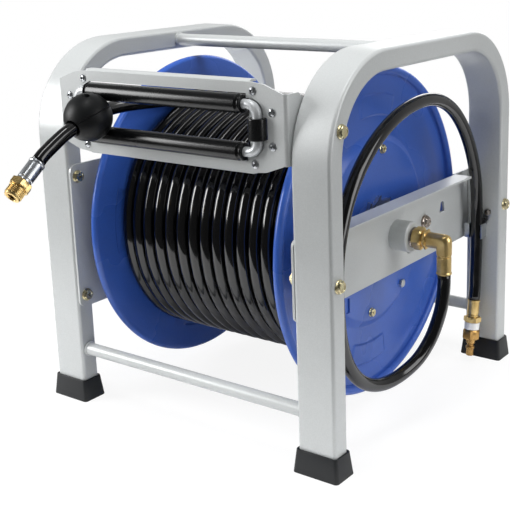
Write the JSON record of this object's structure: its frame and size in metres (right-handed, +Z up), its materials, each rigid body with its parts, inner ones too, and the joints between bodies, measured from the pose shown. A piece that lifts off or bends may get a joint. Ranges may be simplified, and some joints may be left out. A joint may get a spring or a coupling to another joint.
{
  "type": "spring-rewind hose reel",
  "caption": "Free-standing spring-rewind hose reel: tube side frames, flanged drum with wound hose, roller guide with ball stopper, swivel inlet with lead hose.",
  "frame": {"origin": "on the floor, in the middle of the four feet, under the drum's axle", "axes": "+X along the axle towards the inlet side, -Y the side the hose leaves from, +Z up"},
  "size_m": [0.4754, 0.6018, 0.465],
  "materials": {
    "silver_paint": "silver-grey powder coat, semi-gloss",
    "blue_paint": "blue powder coat, semi-gloss",
    "foot_rubber": "moulded rubber, matt",
    "hose_rubber": "smooth hose cover, glossy",
    "seal_rubber": "moulded rubber",
    "roller_plastic": "turned black plastic, satin",
    "stopper_plastic": "moulded black plastic, satin",
    "bush_plastic": "plain bearing plastic",
    "yellow_zinc": "yellow zinc plated",
    "bright_steel": "zinc plated steel",
    "core_steel": "plain sheet steel",
    "spring_steel": "tempered spring steel",
    "brass": "turned brass; the outlet's crimp sleeve is nickel plated",
    "white_tape": "white thread seal tape"
  },
  "bodies": {
    "stand": {"left_frame": "silver_paint", "right_frame": "silver_paint", "rubber_feet": "foot_rubber", "top_crossbar": "silver_paint", "front_crossbar": "silver_paint", "rear_crossbar": "silver_paint", "left_side_plate": "silver_paint", "right_side_plate": "silver_paint", "bearing_boss": "silver_paint", "boss_set_screw": "bright_steel", "axle_shaft": "bright_steel", "axle_washer": "bright_steel", "axle_nut": "yellow_zinc", "axle_spacers": "bright_steel", "spring_arbor": "bright_steel", "frame_bolts": "yellow_zinc", "frame_nuts": "yellow_zinc", "guide_plate": "silver_paint", "guide_cage_plates": "silver_paint", "guide_screws": "bright_steel", "guide_nuts": "bright_steel", "roller_rod": "bright_steel", "pawl_bolt": "yellow_zinc", "pawl_spacer": "bright_steel", "pawl_spring": "spring_steel", "inlet_ring": "bright_steel", "inlet_nut": "brass", "inlet_elbow": "brass", "elbow_sleeve": "brass", "lead_hose": "hose_rubber", "hose_clip": "bright_steel", "clip_screw": "yellow_zinc", "lead_sleeve": "brass", "lead_adapter": "brass", "thread_tape": "white_tape", "quick_plug": "brass", "hose_tail": "hose_rubber", "stopper_ball": "stopper_plastic", "hose_end": "hose_rubber", "outlet_fitting": "brass"},
    "drum": {"left_disc": "blue_paint", "right_disc": "blue_paint", "drum_core": "core_steel", "disc_bolts": "yellow_zinc", "disc_nuts": "yellow_zinc", "clamp_screw": "bright_steel", "drum_bushes": "bush_plastic", "spring_case": "core_steel", "main_spring": "spring_steel", "ratchet_wheel": "bright_steel", "swivel_body": "brass", "swivel_seals": "seal_rubber", "inner_hose": "hose_rubber", "hose_layers": "hose_rubber", "hose_winding": "hose_rubber"},
    "top_roller": {"top_roller": "roller_plastic"},
    "bottom_roller": {"bottom_roller": "roller_plastic"},
    "left_roller": {"left_roller": "roller_plastic"},
    "right_roller": {"right_roller": "roller_plastic"},
    "pawl": {"pawl": "bright_steel"}
  },
  "joints": [
    {"name": "drum_spin", "type": "hinge", "parent": "stand", "child": "drum", "pos_m": [0, 0, 0.223], "axis": [1, 0, 0], "range_deg": [0, 11880], "stiffness_Nm_per_rad": 0.04, "springref_deg": -8594.37, "deforming": ["hose_tail"]},
    {"name": "top_roller_spin", "type": "hinge", "parent": "stand", "child": "top_roller", "pos_m": [0, -0.224, 0.41375], "axis": [1, 0, 0], "continuous": true},
    {"name": "bottom_roller_spin", "type": "hinge", "parent": "stand", "child": "bottom_roller", "pos_m": [0, -0.224, 0.36225], "axis": [1, 0, 0], "continuous": true},
    {"name": "left_roller_spin", "type": "hinge", "parent": "stand", "child": "left_roller", "pos_m": [-0.1355, -0.224, 0.388], "axis": [0, 0, 1], "continuous": true},
    {"name": "right_roller_spin", "type": "hinge", "parent": "stand", "child": "right_roller", "pos_m": [0.1355, -0.224, 0.388], "axis": [0, 0, 1], "continuous": true},
    {"name": "pawl_swing", "type": "hinge", "parent": "stand", "child": "pawl", "pos_m": [0.146, 0.071, 0.223], "axis": [1, 0, 0], "range_deg": [0, 10]}
  ]
}
